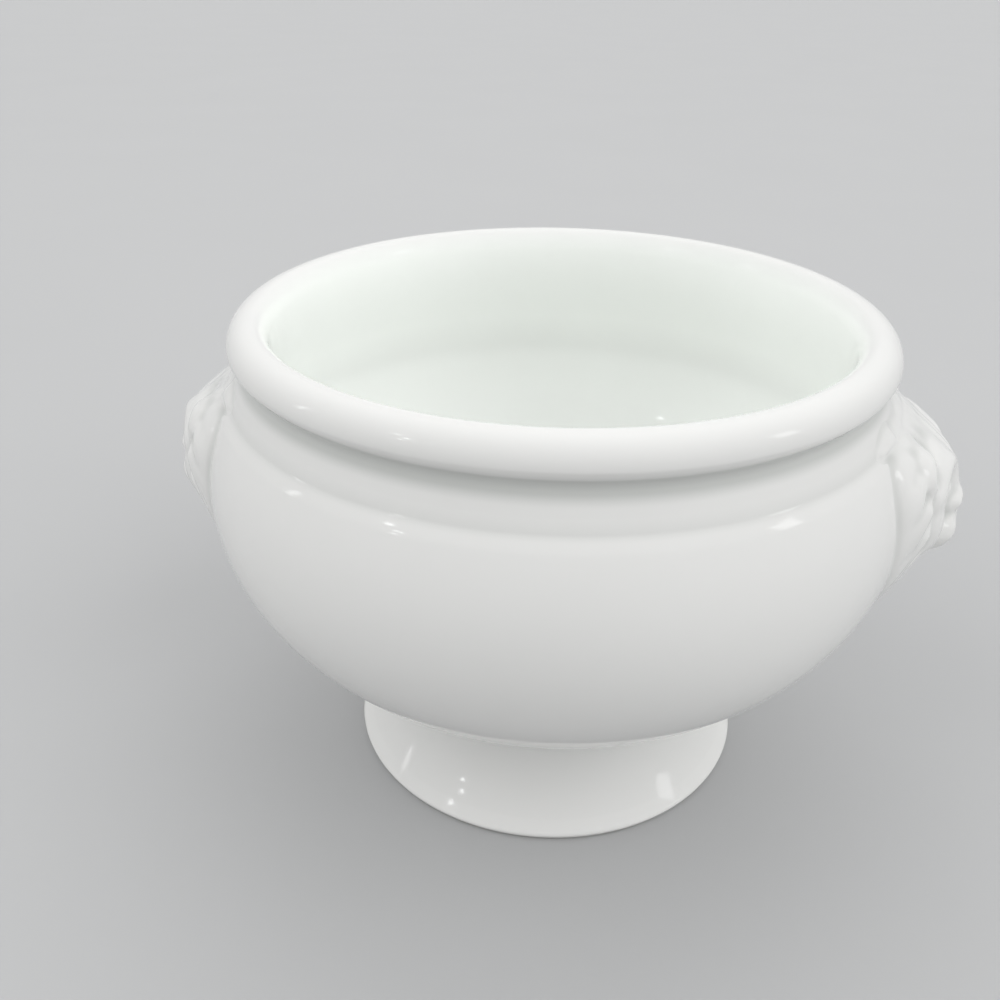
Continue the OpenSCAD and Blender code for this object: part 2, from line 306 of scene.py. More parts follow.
def hollowness(outline):
    """How hollow each point of an outline is, from 0 to 1"""
    step = np.linalg.norm(np.diff(outline, axis=0), axis=1)
    along = np.concatenate([[0], np.cumsum(step)])

    def point_at(place):
        return np.stack([np.interp(place, along, outline[:, k]) for k in (0, 1)], -1)

    ahead, behind = point_at(along + POOL_AND_SHADE_REACH) - outline, outline - point_at(along - POOL_AND_SHADE_REACH)
    turn = behind[:, 0] * ahead[:, 1] - behind[:, 1] * ahead[:, 0]
    return held(-turn / POOL_AND_SHADE_REACH ** 2 * POOL_AND_SHADE_GAIN - POOL_AND_SHADE_NONE)


def painted_light_inside_share(outline):
    """1 where the inside is painted lighter, run in from the top of the rim to its innermost line"""
    innermost = LOWER_STEPS + BELLY_STEPS + NECK_STEPS + ROLL_STEPS
    past_top = (np.arange(len(outline)) - innermost) / (ROLL_STEPS / 2)
    return eased(1 + past_top)


# Relief of a lion's head, all in millimetres

# Outline of the mane on one side: angle from level in degrees, distance from the middle
MANE_EDGE = (
    (-90, 21.8), (-71, 21.8), (-54, 22.0), (-37, 22.5), (-23, 23.3), (-11, 24.4), (0, 25.6), (13, 26.9),
    (24, 28.2), (32, 28.6), (36, 28.5), (40, 28.6), (47, 26.6), (58, 22.9), (69, 21.6), (90, 20.8))
# Stretch over which the mane rounds down at its edge and how squarely, and how steeply it goes on outside
EDGE_ROUND_W = 3.6
EDGE_ROUND_POWER = 1.9
OUTSIDE_SLOPE = 1.4
OUTSIDE_W = 5

# Mass under hair and face: height in the head, then how far it stands out at each place to the side
SIDE_PLACES = range(0, 28, 3)
MASS = (
    (-22, (1.0, 0.9, 0.7, 0.6, 0.5, 0.4, 0.3, 0.3, 0.3, 0.3)),
    (-20, (2.0, 1.8, 1.4, 1.0, 0.8, 0.6, 0.4, 0.3, 0.3, 0.3)),
    (-16, (5.0, 4.3, 3.0, 2.2, 1.8, 1.4, 0.9, 0.6, 0.4, 0.3)),
    (-12, (7.4, 6.4, 4.2, 3.0, 2.4, 2.0, 1.5, 1.0, 0.7, 0.5)),
    (-8, (8.4, 7.0, 4.6, 3.4, 2.8, 2.1, 1.4, 1.0, 0.8, 0.6)),
    (-4, (9.0, 7.8, 5.7, 4.3, 3.6, 2.8, 1.9, 1.3, 0.9, 0.7)),
    (0, (9.4, 8.4, 6.6, 5.6, 4.8, 3.9, 2.9, 1.9, 1.3, 0.9)),
    (4, (8.8, 8.0, 6.8, 6.0, 5.3, 4.5, 3.6, 2.6, 1.8, 1.3)),
    (8, (8.0, 7.8, 7.2, 6.4, 5.5, 4.6, 3.8, 2.9, 2.1, 1.5)),
    (11, (5.8, 5.6, 5.1, 4.5, 4.1, 3.8, 3.3, 2.6, 2.0, 1.4)),
    (14, (2.6, 2.4, 2.1, 1.8, 1.9, 2.2, 2.2, 1.9, 1.6, 1.2)),
    (17, (1.0, 0.9, 0.7, 0.6, 0.7, 1.0, 1.3, 1.3, 1.2, 1.0)),
    (20, (0.5, 0.5, 0.4, 0.4, 0.4, 0.6, 0.8, 0.9, 0.9, 0.8)),
    (23, (0.2, 0.2, 0.2, 0.2, 0.2, 0.3, 0.4, 0.4, 0.4, 0.4)),
)

# Locks of the mane on one side: root, bend, tip, half width
OUTER_LOCKS = (
    ((0.0, 15.0), (0.2, 18.0), (0.5, 20.6), 1.8),
    ((3.6, 14.6), (4.0, 18.0), (5.6, 20.6), 1.9),
    ((7.4, 14.6), (8.6, 18.0), (11.6, 20.0), 2.0),
    ((11.0, 15.0), (13.6, 18.2), (18.4, 19.2), 2.1),
    ((17.6, 14.4), (22.6, 16.2), (25.6, 11.2), 2.2),
    ((19.4, 11.4), (24.8, 11.0), (26.6, 4.0), 2.3),
    ((19.4, 7.0), (24.4, 4.6), (25.6, -2.6), 2.3),
    ((18.6, 2.6), (22.8, -1.2), (22.6, -7.8), 2.3),
    ((17.2, -2.0), (20.2, -6.4), (18.8, -12.6), 2.2),
    ((15.0, -6.4), (16.6, -11.0), (14.6, -16.2), 2.1),
    ((12.0, -10.0), (12.6, -14.6), (10.6, -18.8), 2.0),
    ((8.2, -12.8), (8.2, -16.8), (6.4, -20.4), 1.9),
)
INNER_LOCKS = (
    ((1.8, 12.6), (1.9, 15.4), (2.4, 18.0), 1.4),
    ((5.2, 12.8), (5.8, 15.6), (7.6, 18.0), 1.5),
    ((8.8, 13.2), (10.2, 16.0), (13.6, 17.6), 1.6),
    ((12.6, 14.6), (14.8, 17.0), (19.4, 17.0), 1.6),
    ((18.8, 13.0), (21.4, 12.6), (23.2, 7.0), 1.7),
    ((19.0, 8.4), (22.0, 6.2), (22.6, -0.4), 1.8),
    ((18.2, 3.6), (20.6, 0.2), (20.0, -6.4), 1.8),
    ((16.8, -1.4), (18.2, -5.4), (16.2, -11.2), 1.8),
    ((14.6, -6.0), (15.0, -10.0), (12.4, -14.8), 1.7),
    ((11.6, -9.8), (11.2, -13.2), (8.8, -17.2), 1.6),
)
BEARD_LOCKS = (
    ((0.0, -13.8), (0.0, -17.6), (0.0, -21.4), 1.6),
    ((2.8, -13.6), (3.4, -17.0), (2.6, -20.8), 1.5),
    ((5.6, -12.4), (6.4, -15.8), (5.4, -19.0), 1.5),
)
EAR_TUFTS = (
    ((13.4, 9.2), (14.8, 10.8), (15.6, 12.6), 0.9),
    ((14.8, 8.8), (16.6, 10.0), (17.6, 11.8), 0.9),
)
# The lock that curls over the upper corner of the mane
CORNER_LOCK = (((17.5, 18.2), (22.3, 19.2), (25.8, 17.6), 1.6),)

# For each set of locks: how far their roots and tips stand out, how high they round up from their sides,
# and the stretch over which they run into what lies round them
OUTER_LIFT = (0.55, 0.2, 1.15, 0.3)
INNER_LIFT = (1.0, 0.45, 1.35, 0.25)
BEARD_LIFT = (1.3, 0.5, 1.2, 0.3)
TUFT_LIFT = (0.0, -0.8, 0.7, 0.3)
CORNER_LIFT = (1.3, 0.9, 1.1, 0.5)
TUFT_GROUND = 4.3
# Hollow between the locks, and how much of the locks is left at the edge of the mane and on the combed crown
BETWEEN_LOCKS = 0.3
LEFT_AT_EDGE = 0.5
LEFT_ON_CROWN = 0.7
# Start and length of these fades: in from the edge, up the crown, and in from its side
EDGE_FADE = (1.0, 4.0)
CROWN_FADE_UP = (6.0, 6.0)
CROWN_FADE_SIDE = (17.0, 5.0)

# Middle line of the face: height in the head, how far it stands out
PROFILE = (
    (-22, 1.2), (-20.5, 1.7), (-19, 2.5), (-17.6, 3.4), (-16.2, 4.8), (-14.8, 6.6), (-13.2, 8.0), (-11, 8.9),
    (-8.8, 9.7), (-5.7, 10.1), (-3.1, 10.4), (-1.6, 10.5), (0, 10.45), (1.2, 10.1), (2.6, 9.5), (4.5, 9.2),
    (6.5, 8.9), (8.4, 8.2), (10.6, 6.8), (12.5, 5.2), (14.5, 3.2), (16.5, 1.9), (19, 1.1), (22, 0.6))
# Half width of the muzzle and forehead at each height, and how square they are
BREADTH = (
    (-18, 5.0), (-15, 5.4), (-12, 5.8), (-8, 6.6), (-4, 7.2), (-1, 6.6), (1.5, 5.6), (4, 5.0), (6.5, 6.0),
    (9, 8.4), (11, 8.2), (14, 8.0), (17, 8.0))
SQUARENESS = ((-18, 2.2), (-12, 2.8), (-6, 3.2), (0, 2.6), (3, 2.0), (7, 2.0), (10, 2.3), (16, 2.2))
# How far the foot of the face stands out, how fast the face falls to it, and over what stretch it runs in
FACE_GROUND = 1.0
FACE_FALL = 1.1
FACE_RUN_IN = 1.2

# Brow: path, how far its sides stand out, how much more its ridge does, ridge width, half width and fall of
# the sides, stretch over which it runs in; and the share of the ridge along the path
BROW = (((2.6, 7.2), (7.6, 12.2), (13.4, 7.2)), 4.4, 3.3, 2.4, 3.2, 5, 0.9)
BROW_ALONG = ((0, 1), (0.3, 1), (1, 0.35))

# Swellings: middle, half width and half height, how far the top and the edge stand out, turn in degrees,
# squareness, and the stretch over which they run into what lies round them
CHEEK = ((12.4, 0.6), (5.4, 7.2), 5.6, 1.5, -12, 2.0, 1.8)
EYEBALL = ((8.2, 4.6), (2.7, 1.9), 6.1, 3.6, -16, 2.0, 0.25)
MUZZLE_PAD = ((3.6, -5.0), (4.3, 3.9), 10.2, 6.4, 14, 2.0, 0.7)
NOSE = ((0, -0.3), (3.9, 2.7), 10.72, 8.2, 0, 2.4, 0.5)
NOSE_WING = ((3.2, 0.1), (1.7, 1.6), 10.0, 7.5, 0, 2.0, 0.4)
CHIN = ((0, -12.2), (4.4, 2.8), 8.8, 5.2, 0, 2.0, 0.8)
EAR = ((16.0, 11.4), (4.0, 4.2), 5.1, 2.4, -35, 2.0, 0.9)

# Hollows: middle, half width and half height, depth, and how flat their floor is
EYE_SOCKET = ((8.0, 4.6), (3.3, 2.4), 2.3, 1.3)
PUPIL = ((7.9, 4.7), (0.8, 0.8), 0.4, 1.0)
NOSTRIL = ((2.5, -1.3), (0.95, 0.75), 1.1, 1.0)
EAR_HOLLOW = ((15.6, 10.8), (2.1, 2.3), 1.0, 1.4)
WHISKER_PITS = tuple(
    (at, (0.5, 0.5), 0.3, 1.0) for at in ((4.2, -4.4), (6.4, -4.0), (4.6, -6.4), (6.9, -6.0)))

# Upper and lower lid: path, width, how far it stands out
LIDS = (
    (((5.0, 3.4), (7.4, 8.4), (11.6, 4.8)), 0.75, 0.8),
    (((5.2, 3.2), (8.2, 1.3), (11.3, 4.4)), 0.7, 0.5),
)
# Creases: path, width, depth. Two furrows of the forehead, the groove of the lip and the mouth
CREASES = (
    (((0, 14), (0, 10), (0, 7.5)), 1.2, 0.6),
    (((3.0, 14.0), (3.6, 11.5), (2.6, 9.4)), 0.8, 0.3),
    (((0, -2.6), (0, -5.5), (0, -8.7)), 0.65, 0.9),
    (((0, -8.9), (3.8, -8.9), (7.6, -12.0)), 0.85, 1.7),
)

# How steeply swellings and locks drop away outside their edges, and for how many half widths
SWELLING_DROP = 4.0
LOCK_DROP = 3.0
DROP_END = 3
# Straight pieces of a path: for a lock, a crease, and a brow or lid
LOCK_PIECES = 8
CREASE_PIECES = 10
LINE_PIECES = 12
# A lock's least width, where it starts in its swelling, the share of its length over which it comes up, and
# the height of its strands
LOCK_LEAST_W = 0.62
LOCK_START = 0.15
LOCK_COME_UP = 0.25
STRAND_LIFT = 0.07
# How blunt a lock's tip is, and its least width there, as squares of shares of its width
TIP_BLUNT = 1.02
TIP_LEAST = 0.03
# Ends of a crease: how fast it deepens from them, and its least share of the depth
CREASE_DEEPEN = 6
CREASE_LEAST = 0.35


def read_off(x, table):
    xs, ys = np.array(table, float).T
    return np.interp(x, xs, ys)


def curve_weights(xs, x):
    """On a smooth curve through values at xs: the stretch that x is in, and what its ends and slopes count"""
    i = np.clip(np.searchsorted(xs, x) - 1, 0, len(xs) - 2)
    w = xs[i + 1] - xs[i]
    t = held((x - xs[i]) / w)
    end = 3 * t ** 2 - 2 * t ** 3
    return i, 1 - end, (t ** 3 - 2 * t ** 2 + t) * w, end, (t ** 3 - t ** 2) * w


def read_smoothly(x, table):
    """Value of a table at x, on a smooth curve through its points"""
    xs, ys = np.array(table, float).T
    i, start, start_slope, end, end_slope = curve_weights(xs, x)
    slopes = np.gradient(ys, xs)
    return start * ys[i] + start_slope * slopes[i] + end * ys[i + 1] + end_slope * slopes[i + 1]


def mass(a, v):
    """How far the mass of the head stands out, smooth both ways through the table of it"""
    heights = [row[0] for row in MASS]
    across = zip(*(row[1] for row in MASS))
    columns = np.stack([read_smoothly(v, tuple(zip(heights, lifts))) for lifts in across])
    places = np.array(SIDE_PLACES, float)
    slopes = np.gradient(columns, places, axis=0)
    slopes[0] = 0
    i, start, start_slope, end, end_slope = curve_weights(places, a)

    def pick(values, index):
        return np.take_along_axis(values, index[None], 0)[0]

    return (start * pick(columns, i) + start_slope * pick(slopes, i)
            + end * pick(columns, i + 1) + end_slope * pick(slopes, i + 1))


def with_swellings(out, u, v, *swellings):
    """A relief with oval swellings run into it, which drop away outside their edges"""
    for at, half, top, edge, turn, square, run_in in swellings:
        c, s = math.cos(math.radians(turn)), math.sin(math.radians(turn))
        x, y = (u - at[0]) * c + (v - at[1]) * s, (v - at[1]) * c - (u - at[0]) * s
        rho = (np.abs(x / half[0]) ** square + np.abs(y / half[1]) ** square) ** (1 / square)
        dome = edge + (top - edge) * np.sqrt(held(1 - rho ** 2))
        out = soft_max(out, dome - SWELLING_DROP * np.clip(rho - 1, 0, DROP_END), run_in)
    return out


def with_hollows(out, u, v, *hollows):
    for at, half, depth, flatness in hollows:
        rho = np.hypot((u - at[0]) / half[0], (v - at[1]) / half[1])
        out = out - depth * np.exp(-rho ** (2 * flatness))
    return out


def beside_path(u, v, path, pieces):
    """Distance from a bent path, the share of the way along it, and the side"""
    p = np.array(path, float)
    t = np.linspace(0, 1, pieces + 1)[:, None]
    points = (1 - t) ** 2 * p[0] + 2 * t * (1 - t) * p[1] + t ** 2 * p[2]
    near = np.full(u.shape, np.inf)
    along, side = np.zeros(u.shape), np.zeros(u.shape)
    for i, (a, b) in enumerate(zip(points[:-1], points[1:])):
        d = b - a
        s = held(((u - a[0]) * d[0] + (v - a[1]) * d[1]) / (d @ d))
        du, dv = u - a[0] - s * d[0], v - a[1] - s * d[1]
        dist = np.hypot(du, dv)
        closer = dist < near
        near = np.where(closer, dist, near)
        along = np.where(closer, (i + s) / pieces, along)
        side = np.where(closer, np.sign(du * d[1] - dv * d[0]), side)
    return near, along, side


def with_locks(out, ground, u, v, locks, lift, strength=1.0):
    """A relief with tapering locks of hair of two strands each, laid over the ground"""
    root, tip, rise, run_in = lift
    for *path, half_w in locks:
        dist, t, side = beside_path(u, v, path, LOCK_PIECES)
        swell = mix(1, np.sin(np.pi * held(mix(LOCK_START, 1, t))), 1 - LOCK_LEAST_W)
        rho = dist / (half_w * swell * np.sqrt(np.clip(TIP_BLUNT - t ** 3, TIP_LEAST, 1)))
        strand = STRAND_LIFT * np.cos(2 * np.pi * side * rho) * (1 - t) * (rho < 1)
        back = mix(root, tip, t) * held(t / LOCK_COME_UP)
        height = back - rise + rise * np.sqrt(held(1 - rho ** 2)) + strand
        out = soft_max(out, ground + strength * (height - LOCK_DROP * np.clip(rho - 1, 0, DROP_END)), run_in)
    return out


def with_creases(out, u, v, *creases):
    for path, width, depth in creases:
        dist, t, _ = beside_path(u, v, path, CREASE_PIECES)
        share = np.clip(np.minimum(t, 1 - t) * CREASE_DEEPEN, CREASE_LEAST, 1)
        out = out - depth * share * np.exp(-(dist / width) ** 2)
    return out


def with_brow(out, u, v):
    path, sides, ridge, ridge_w, half_w, fall, run_in = BROW
    dist, along, _ = beside_path(u, v, path, LINE_PIECES)
    brow = sides + ridge * np.exp(-(dist / ridge_w) ** 2) * read_off(along, BROW_ALONG)
    return soft_max(out, brow - fall * np.clip(dist / half_w - 1, 0, DROP_END), run_in)


def lion_relief(u, v):
    """Height of the head over the bowl at u sideways and v up from its middle, in millimetres"""
    a = np.abs(u)
    reach = read_smoothly(np.degrees(np.arctan2(v, a)), MANE_EDGE)
    inside = reach - np.hypot(a, v)
    # The locks run out into the mass towards the edge of the mane, and the crown is combed flat
    (edge_at, edge_w), (up_at, up_w), (side_at, side_w) = EDGE_FADE, CROWN_FADE_UP, CROWN_FADE_SIDE
    crown = eased((v - up_at) / up_w) * eased((side_at - a) / side_w)
    strength = mix(LEFT_AT_EDGE, 1, eased((inside - edge_at) / edge_w)) * mix(1, LEFT_ON_CROWN, crown)
    base = mass(a, v)
    out = base - BETWEEN_LOCKS * strength
    out = with_locks(out, base, a, v, OUTER_LOCKS, OUTER_LIFT, strength)
    out = with_locks(out, base, a, v, INNER_LOCKS, INNER_LIFT, strength)
    # Middle line of the face, cheeks and brows
    crest = read_off(v, PROFILE)
    fall = np.exp(-np.log(2) * FACE_FALL * (a / read_off(v, BREADTH)) ** read_off(v, SQUARENESS))
    out = soft_max(out, FACE_GROUND + (crest - FACE_GROUND) * fall, FACE_RUN_IN)
    out = with_brow(with_swellings(out, a, v, CHEEK), a, v)
    # Eyes with their lids
    out = with_swellings(with_hollows(out, a, v, EYE_SOCKET), a, v, EYEBALL)
    for path, width, lift in LIDS:
        dist, _, _ = beside_path(a, v, path, LINE_PIECES)
        out = out + lift * np.exp(-(dist / width) ** 2)
    out = with_hollows(out, a, v, PUPIL)
    # Muzzle pads, nose and nostrils, then the creases and whisker pits
    out = with_swellings(out, a, v, MUZZLE_PAD, NOSE, NOSE_WING)
    out = with_creases(with_hollows(out, a, v, NOSTRIL), a, v, *CREASES)
    out = with_hollows(out, a, v, *WHISKER_PITS)
    # Chin and beard, then the ears with tufts in them
    out = with_swellings(out, a, v, CHIN)
    out = with_locks(out, base, a, v, BEARD_LOCKS, BEARD_LIFT)
    out = with_hollows(with_swellings(out, a, v, EAR), a, v, EAR_HOLLOW)
    out = with_locks(out, TUFT_GROUND, a, v, EAR_TUFTS, TUFT_LIFT)
    # The mane rounds down to the bowl at its edge
    round_down = np.sqrt(held(1 - (1 - held(inside / EDGE_ROUND_W)) ** EDGE_ROUND_POWER))
    out = np.where(inside > 0, out * round_down, 0) - OUTSIDE_SLOPE * np.clip(-inside, 0, OUTSIDE_W)
    return with_locks(out, 0, a, v, CORNER_LOCK, CORNER_LIFT)


def softened(field, spread):
    """Heights blurred by a bell of the given spread, in steps of the field"""
    n = int(math.ceil(3 * spread))
    bell = np.exp(-0.5 * (np.arange(-n, n + 1) / spread) ** 2)
    bell /= bell.sum()

    def blurred(row):
        return np.convolve(np.pad(row, n, "edge"), bell, "valid")

    return np.apply_along_axis(blurred, 1, np.apply_along_axis(blurred, 0, field))


# Values an outline carries: thick glaze with painted shade, and where the inside is painted lighter
KEPT_VALUES = ("pool", "painted_light_inside")
# Distance within which the points of a turned piece are joined
WELD = 1e-6


class Wiring:
    """Adds nodes to a tree"""

    def __init__(self, tree):
        self.nodes, self.links = tree.nodes, tree.links

    def fill(self, node, inputs):
        """Gives inputs of a node what another socket puts out, or a plain value"""
        for key, value in inputs.items():
            if isinstance(value, bpy.types.NodeSocket):
                self.links.new(value, node.inputs[key])
            else:
                node.inputs[key].default_value = value
        return node

    def node(self, kind, inputs=None, **settings):
        made = self.nodes.new(kind)
        for key, value in settings.items():
            setattr(made, key, value)
        return self.fill(made, inputs or {})

    def math(self, operation, *values, **settings):
        inputs = dict(enumerate(values))
        return self.node("ShaderNodeMath", inputs, operation=operation, **settings).outputs[0]

    def mixed(self, kind, share, first, second):
        """first where share is 0, second where it is 1"""
        inputs = {"Factor": share, "A": first, "B": second}
        return self.node("ShaderNodeMix", inputs, data_type=kind).outputs["Result"]

    def noise(self, place, scale, detail, roughness):
        inputs = {"Vector": place, "Scale": scale, "Detail": detail, "Roughness": roughness}
        return self.node("ShaderNodeTexNoise", inputs).outputs["Fac"]


def new_tree(name, kind, inputs, outputs):
    """A node tree, its wiring and what its inputs give; a socket is a name, a type and perhaps a value"""
    tree = bpy.data.node_groups.new(name, kind)
    for way, sockets in (("INPUT", inputs), ("OUTPUT", outputs)):
        for label, socket_type, *value in sockets:
            socket = tree.interface.new_socket(label, in_out=way, socket_type=socket_type)
            if value:
                socket.default_value = value[0]
    w = Wiring(tree)
    return tree, w, w.node("NodeGroupInput").outputs


def lathe_tree():
    """Node tree that turns an outline, drawn in the XZ plane, once round the Z axis"""
    tree = bpy.data.node_groups.get("turned_on_the_wheel")
    if tree:
        return tree
    tree, w, given = new_tree(
        "turned_on_the_wheel", "GeometryNodeTree",
        (("Outline", "NodeSocketGeometry"), ("Turns", "NodeSocketInt", TURNS),
         ("Weld", "NodeSocketFloat", WELD), ("Finish", "NodeSocketMaterial")),
        (("Turned", "NodeSocketGeometry"),))
    position = w.node("GeometryNodeInputPosition").outputs[0]
    count = w.node("GeometryNodeAttributeDomainSize", {"Geometry": given["Outline"]}, component="MESH")
    points = count.outputs["Point Count"]
    # A grid with a row for each point of the outline, laid round the axis
    across = {"Size X": 1, "Size Y": 1, "Vertices X": w.math("ADD", given["Turns"], 1), "Vertices Y": points}
    shape = w.node("GeometryNodeMeshGrid", across).outputs["Mesh"]
    place = w.node("ShaderNodeSeparateXYZ", {0: position}).outputs
    angle = w.math("MULTIPLY_ADD", place["X"], 2 * math.pi, math.pi)
    height = w.math("MULTIPLY", w.math("ADD", place["Y"], 0.5), w.math("SUBTRACT", points, 1))
    row = w.node("FunctionNodeFloatToInt", {0: height}, rounding_mode="ROUND").outputs[0]

    def of_outline(kind, value):
        inputs = {"Geometry": given["Outline"], "Value": value, "Index": row}
        return w.node("GeometryNodeSampleIndex", inputs, data_type=kind, domain="POINT").outputs[0]

    point = w.node("ShaderNodeSeparateXYZ", {0: of_outline("FLOAT_VECTOR", position)}).outputs
    turned = w.node("ShaderNodeCombineXYZ", {
        "X": w.math("MULTIPLY", point["X"], w.math("COSINE", angle)),
        "Y": w.math("MULTIPLY", point["X"], w.math("SINE", angle)),
        "Z": point["Z"]}).outputs[0]
    for name in KEPT_VALUES:
        named = w.node("GeometryNodeInputNamedAttribute", {"Name": name}, data_type="FLOAT")
        inputs = {"Geometry": shape, "Name": name, "Value": of_outline("FLOAT", named.outputs["Attribute"])}
        keep = w.node("GeometryNodeStoreNamedAttribute", inputs, data_type="FLOAT", domain="POINT")
        shape = keep.outputs[0]
    for kind, inputs in (
            ("GeometryNodeSetPosition", {"Position": turned}),
            ("GeometryNodeMergeByDistance", {"Distance": given["Weld"]}),
            ("GeometryNodeSetShadeSmooth", {}),
            ("GeometryNodeRealizeInstances", {}),
            ("GeometryNodeSetMaterial", {"Material": given["Finish"]})):
        shape = w.node(kind, {"Geometry": shape, **inputs}).outputs[0]
    w.node("NodeGroupOutput", {"Turned": shape})
    return tree


def set_inputs(modifier, values):
    for name, value in values.items():
        modifier[modifier.node_group.interface.items_tree[name].identifier] = value


def new_object(name, data):
    made = bpy.data.objects.new(name, data)
    bpy.context.scene.collection.objects.link(made)
    return made


def keep_values(mesh, key, values):
    mesh.attributes.new(key, "FLOAT", "POINT").data.foreach_set("value", values.astype(np.float32))


def turned_piece(name, outline, kept, material, turns):
    """A plain mesh turned from an outline of radii and heights, with the values that the outline keeps"""
    wire = bpy.data.meshes.new(name + "_outline")
    wire.from_pydata([(r, 0, z) for r, z in outline.tolist()],
                     [(i, i + 1) for i in range(len(outline) - 1)], [])
    for key, values in zip(KEPT_VALUES, kept):
        keep_values(wire, key, values)
    piece = new_object(name, wire)
    modifier = piece.modifiers.new("turned", "NODES")
    modifier.node_group = lathe_tree()
    set_inputs(modifier, {"Turns": turns, "Finish": material})
    context = bpy.context.evaluated_depsgraph_get()
    mesh = bpy.data.meshes.new_from_object(piece.evaluated_get(context), depsgraph=context)
    piece.modifiers.remove(modifier)
    piece.data = mesh
    mesh.name = name
    bpy.data.meshes.remove(wire)
    if not mesh.polygons:
        raise RuntimeError(f"{name} came out empty")
    return piece


# A head's margin in millimetres: width, the stretch over which it fades into the bowl, how deep it is sunk
MARGIN = 2.4
FADE = 0.9
SUNK = 0.04
# Thick glaze and painted shade in a head's hollows: how far round is looked at, depth where it is fullest
HEAD_POOL_AND_SHADE_REACH = 0.9
HEAD_POOL_AND_SHADE_DEPTH = 0.3
# Its back: one point for so many of the relief, and how deep it lies in the wall
BACK_STRIDE = 8
BACK_DEPTH = 1.6 * MM


def head_grid(head):
    """Sideways and upward places of the relief's points in millimetres, and their step"""
    step = head.step / MM
    across = 2 * BACK_STRIDE * math.ceil((head.width / MM / 2 + 2 * MARGIN) / step / BACK_STRIDE)
    up = 2 * BACK_STRIDE * math.ceil((head.height / MM / 2 + MARGIN) / step / BACK_STRIDE)
    u = (np.arange(across + 1) - across / 2) * step
    v = (np.arange(up + 1) - up / 2) * step
    return u, v, step


def head_mesh(name, o, side):
    """A lion's head laid on the bowl: a fine relief in front, a coarse back inside the wall"""
    u, v, step = head_grid(o.head)
    across, up = np.meshgrid(u, v)
    lift = soft_max(lion_relief(across, up), np.full(across.shape, -SUNK), FADE)
    lift = softened(lift, o.head.soft / MM / step)
    # Painted shade and thick glaze: the head's hollows take the darker colour
    pool = held((softened(lift, HEAD_POOL_AND_SHADE_REACH / step) - lift) / HEAD_POOL_AND_SHADE_DEPTH)

    def on_bowl(y, z, height):
        r = o.outer_r(z)
        out = (r + height) / r
        return np.stack([side * out * np.sqrt(r ** 2 - y ** 2), side * out * y, z], -1)

    front = on_bowl(across * MM, o.head_z + up * MM, lift * MM)
    y, z = np.meshgrid(u[::BACK_STRIDE] * MM, o.head_z + v[::BACK_STRIDE] * MM)
    back = on_bowl(y, z, np.full(y.shape, -BACK_DEPTH))
    at = np.arange(across.size).reshape(across.shape)
    behind = across.size + np.arange(y.size).reshape(y.shape)

    def quads(index):
        return np.stack([index[:-1, :-1], index[:-1, 1:], index[1:, 1:], index[1:, :-1]], -1).reshape(-1, 4)

    faces = quads(at).tolist() + quads(behind)[:, ::-1].tolist()
    edges = ((at[0], behind[0]), (at[:, -1], behind[:, -1]),
             (at[-1, ::-1], behind[-1, ::-1]), (at[::-1, 0], behind[::-1, 0]))
    for fine, coarse in edges:
        for k in range(len(coarse) - 1):
            strip = fine[k * BACK_STRIDE:(k + 1) * BACK_STRIDE + 1]
            faces.append(coarse[k:k + 2].tolist() + strip[::-1].tolist())
    mesh = bpy.data.meshes.new(name)
    mesh.from_pydata(np.concatenate([front.reshape(-1, 3), back.reshape(-1, 3)]).tolist(), [], faces)
    mesh.validate()
    keep_values(mesh, "pool", np.concatenate([pool.ravel(), np.zeros(y.size)]))
    mesh.polygons.foreach_set("use_smooth", [True] * len(mesh.polygons))
    mesh.update()
    return mesh


# Patterns of glaze, biscuit and paper: how many to a metre, detail, roughness
CLOUDS = (24, 3, 0.5)
RIPPLE = (75, 2, 0.45)
GRAIN = (900, 2, 0.5)
EDGE_WANDER = (220, 3, 0.5)
GRIT = (2600, 4, 0.5)
MOTTLE = (9, 3, 0.5)
# Share of the thick glaze's colour given by a hollow, with painted shade, and by a cloud, and what is taken
# off
POOL_AND_SHADE_TINT = 0.9
CLOUD_TINT = 0.16
CLOUD_CLEAR = -0.06
# Roughness of the glaze and what the grain adds, and the relief of ripple and grain beside that of the clouds
GLAZE_ROUGHNESS = 0.07
GRAIN_ROUGHNESS = 0.035
RIPPLE_RELIEF = 0.45
GRAIN_RELIEF = 0.012
GLAZE_BUMP = 0.06 * MM
# The wiped ring: height of the glaze line, how far it wanders and how soft it is
WIPE_H = 0.5 * MM
WIPE_WANDER = 0.6 * MM
WIPE_SOFT = 0.16 * MM
BISCUIT_ROUGHNESS = 0.62
PAPER_ROUGHNESS = 0.7
PAPER_SPECULAR = 0.2
PAPER_MOTTLE = 0.97


